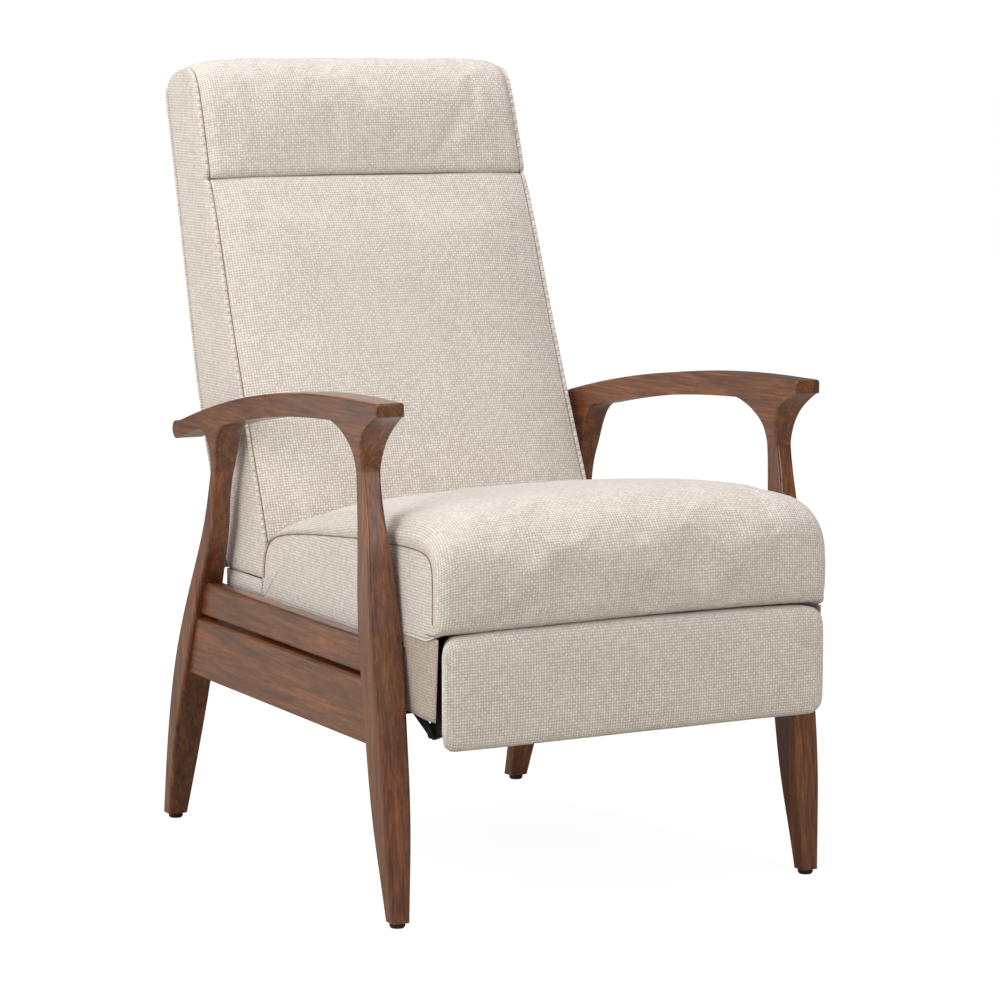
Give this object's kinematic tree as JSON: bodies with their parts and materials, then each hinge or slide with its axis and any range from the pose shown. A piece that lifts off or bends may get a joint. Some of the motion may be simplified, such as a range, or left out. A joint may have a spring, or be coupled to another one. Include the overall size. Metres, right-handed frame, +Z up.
{
  "type": "pushback recliner",
  "caption": "Upholstered armchair with exposed wooden arms and legs whose seat slides back while a linked footrest swings out and the tall back reclines.",
  "frame": {"origin": "on the floor under the middle of the chair's bounding box", "axes": "+Z up, -Y the way the chair faces, +X to the right as seen from the front"},
  "size_m": [0.6506, 0.8814, 1.0585],
  "materials": {
    "lacquered_wood": "walnut-stained beech, satin lacquer",
    "raw_wood": "planed beech and plywood, unfinished",
    "tweed": "coarse basket-weave tweed over foam",
    "black_steel": "black satin paint on pressed steel",
    "zinc_screw": "zinc-plated screws",
    "dark_glide": "moulded dark brown glide",
    "webbing": "elastic webbing and black non-woven cover"
  },
  "bodies": {
    "base": {"left_front_leg": "lacquered_wood", "right_front_leg": "lacquered_wood", "left_rear_leg": "lacquered_wood", "right_rear_leg": "lacquered_wood", "left_arm": "lacquered_wood", "right_arm": "lacquered_wood", "left_upper_rail": "lacquered_wood", "right_upper_rail": "lacquered_wood", "left_lower_rail": "lacquered_wood", "right_lower_rail": "lacquered_wood", "left_base_plate": "black_steel", "right_base_plate": "black_steel", "rear_cross_rail": "lacquered_wood", "frame_dowels": "raw_wood", "glides": "dark_glide", "packers": "raw_wood", "base_screws": "zinc_screw", "cross_tubes": "black_steel"},
    "rear_support": {"left_rear_support_link": "black_steel", "right_rear_support_link": "black_steel"},
    "front_support": {"left_front_support_link": "black_steel", "right_front_support_link": "black_steel"},
    "seat": {"left_seat_plate": "black_steel", "right_seat_plate": "black_steel", "left_seat_rail": "raw_wood", "right_seat_rail": "raw_wood", "left_seat_side_member": "raw_wood", "right_seat_side_member": "raw_wood", "left_skirt": "tweed", "right_skirt": "tweed", "seat_front_member": "raw_wood", "seat_rear_member": "raw_wood", "seat_webbing": "webbing", "dust_cover": "webbing", "seat_cushion": "tweed"},
    "swing": {"left_swing_link": "black_steel", "right_swing_link": "black_steel"},
    "guide": {"left_guide_link": "black_steel", "right_guide_link": "black_steel"},
    "reach": {"left_reach_link": "black_steel", "right_reach_link": "black_steel"},
    "control": {"left_control_link": "black_steel", "right_control_link": "black_steel"},
    "footrest": {"left_footrest_bracket": "black_steel", "right_footrest_bracket": "black_steel", "footrest_board": "raw_wood", "footrest_pad": "tweed"},
    "back": {"left_back_stile": "raw_wood", "right_back_stile": "raw_wood", "left_back_side_panel": "tweed", "right_back_side_panel": "tweed", "back_top_rail": "raw_wood", "back_middle_rail": "raw_wood", "back_tail_rail": "raw_wood", "back_tail_band": "tweed", "back_rear_panel": "tweed", "hinge_straps": "black_steel", "back_cushion": "tweed", "headrest_cushion": "tweed"}
  },
  "joints": [
    {"name": "pushback", "type": "hinge", "parent": "base", "child": "rear_support", "pos_m": [0, 0.1123, 0.25], "axis": [-1, 0, 0], "range_deg": [0, 60]},
    {"name": "front_link_swing", "type": "hinge", "parent": "base", "child": "front_support", "pos_m": [0, -0.0677, 0.25], "axis": [-1, 0, 0], "range_deg": [0, 60.05]},
    {"name": "seat_carry", "type": "hinge", "parent": "rear_support", "child": "seat", "pos_m": [0, 0.0833, 0.30023], "axis": [-1, 0, 0], "range_deg": [-60.05, 0]},
    {"name": "swing_link_turn", "type": "hinge", "parent": "seat", "child": "swing", "pos_m": [0, -0.3337, 0.326], "axis": [-1, 0, 0], "range_deg": [0, 124.1]},
    {"name": "guide_link_turn", "type": "hinge", "parent": "seat", "child": "guide", "pos_m": [0, -0.3107, 0.31], "axis": [-1, 0, 0], "range_deg": [0, 119.1]},
    {"name": "knee", "type": "hinge", "parent": "swing", "child": "reach", "pos_m": [0, -0.2047, 0.256], "axis": [-1, 0, 0], "range_deg": [-89.6, 0]},
    {"name": "control_link_turn", "type": "hinge", "parent": "swing", "child": "control", "pos_m": [0, -0.1827, 0.2365], "axis": [-1, 0, 0], "range_deg": [-85.4, 0]},
    {"name": "footrest_turn", "type": "hinge", "parent": "reach", "child": "footrest", "pos_m": [0, -0.3767, 0.286], "axis": [-1, 0, 0], "range_deg": [0, 55.3]},
    {"name": "back_recline", "type": "hinge", "parent": "seat", "child": "back", "pos_m": [0, 0.1613, 0.335], "axis": [-1, 0, 0], "range_deg": [0, 30]}
  ],
  "couplings": [
    {"joint": "front_link_swing", "follows": "pushback", "ratio": 1},
    {"joint": "seat_carry", "follows": "pushback", "ratio": -1},
    {"joint": "swing_link_turn", "follows": "pushback", "ratio": 2.0667},
    {"joint": "guide_link_turn", "follows": "pushback", "ratio": 1.983},
    {"joint": "knee", "follows": "pushback", "ratio": -1.4913},
    {"joint": "control_link_turn", "follows": "pushback", "ratio": -1.422},
    {"joint": "footrest_turn", "follows": "pushback", "ratio": 0.9197}
  ]
}
